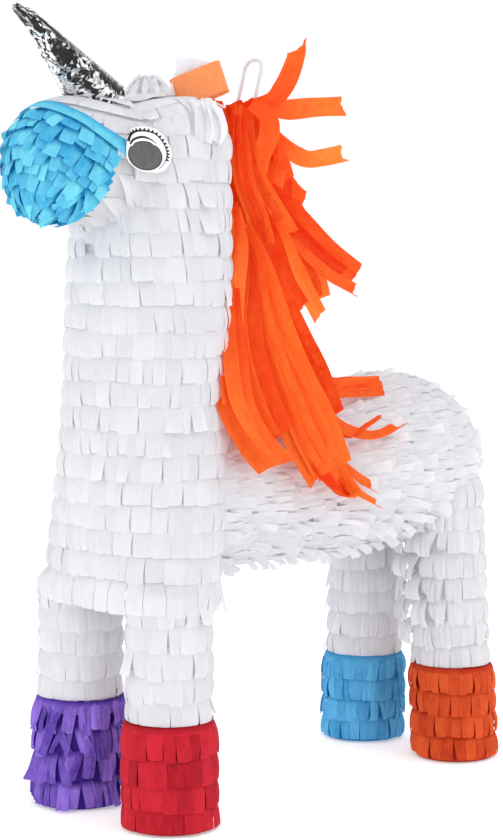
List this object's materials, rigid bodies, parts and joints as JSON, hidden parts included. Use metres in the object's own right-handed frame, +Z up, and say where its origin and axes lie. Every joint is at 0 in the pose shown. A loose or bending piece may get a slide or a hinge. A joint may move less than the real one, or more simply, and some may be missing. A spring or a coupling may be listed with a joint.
{
  "type": "pinata",
  "caption": "Standing unicorn pinata: chipboard shells covered in cut tissue fringe, with coloured hooves, foil horn, tissue mane, hanging loop and a hinged fill flap in the back.",
  "frame": {"origin": "on the floor under the middle of the object's box", "axes": "+Z up, the unicorn faces -Y, its left side is +X"},
  "size_m": [0.178, 0.4815, 0.6029],
  "materials": {
    "chipboard": "matt, uncoated",
    "white_tissue": "matt crepe tissue, cut as fringe",
    "blue_tissue": "matt crepe tissue, cut as fringe",
    "red_tissue": "matt crepe tissue, cut as fringe",
    "purple_tissue": "matt crepe tissue, cut as fringe",
    "orange_tissue": "matt crepe tissue, cut as strips and fringe",
    "silver_foil": "crumpled metallic foil",
    "printed_card": "printed card, smooth",
    "white_cord": "twisted cord"
  },
  "bodies": {
    "pinata": {"neck_tube": "chipboard", "crown_cap": "chipboard", "barrel_back": "chipboard", "barrel_belly": "chipboard", "rump_cap": "chipboard", "nose_cup": "chipboard", "chest_floor": "chipboard", "neck_fringe": "white_tissue", "barrel_fringe": "white_tissue", "nose_fringe": "white_tissue", "muzzle_fringe": "blue_tissue", "horn_foil": "silver_foil", "horn_core": "chipboard", "mane_upper": "orange_tissue", "mane_lower": "orange_tissue", "tail": "orange_tissue", "hanger_patch": "chipboard", "hanging_loop": "white_cord", "leg_tube_front_left": "chipboard", "leg_fringe_front_left": "white_tissue", "hoof_fringe_front_left": "red_tissue", "hoof_disc_front_left": "chipboard", "leg_tube_front_right": "chipboard", "leg_fringe_front_right": "white_tissue", "hoof_fringe_front_right": "purple_tissue", "hoof_disc_front_right": "chipboard", "leg_tube_hind_left": "chipboard", "leg_fringe_hind_left": "white_tissue", "hoof_fringe_hind_left": "orange_tissue", "hoof_disc_hind_left": "chipboard", "leg_tube_hind_right": "chipboard", "leg_fringe_hind_right": "white_tissue", "hoof_fringe_hind_right": "blue_tissue", "hoof_disc_hind_right": "chipboard", "ear_left": "white_tissue", "ear_band_left": "orange_tissue", "eye_card_left": "printed_card", "ear_right": "white_tissue", "eye_card_right": "printed_card"},
    "fill_flap": {"fill_flap": "chipboard", "flap_fringe": "white_tissue"}
  },
  "joints": [
    {"name": "fill_flap_hinge", "type": "hinge", "parent": "pinata", "child": "fill_flap", "pos_m": [-0.032, 0.145, 0.3114], "axis": [0, -1, 0], "range_deg": [0, 100]}
  ]
}
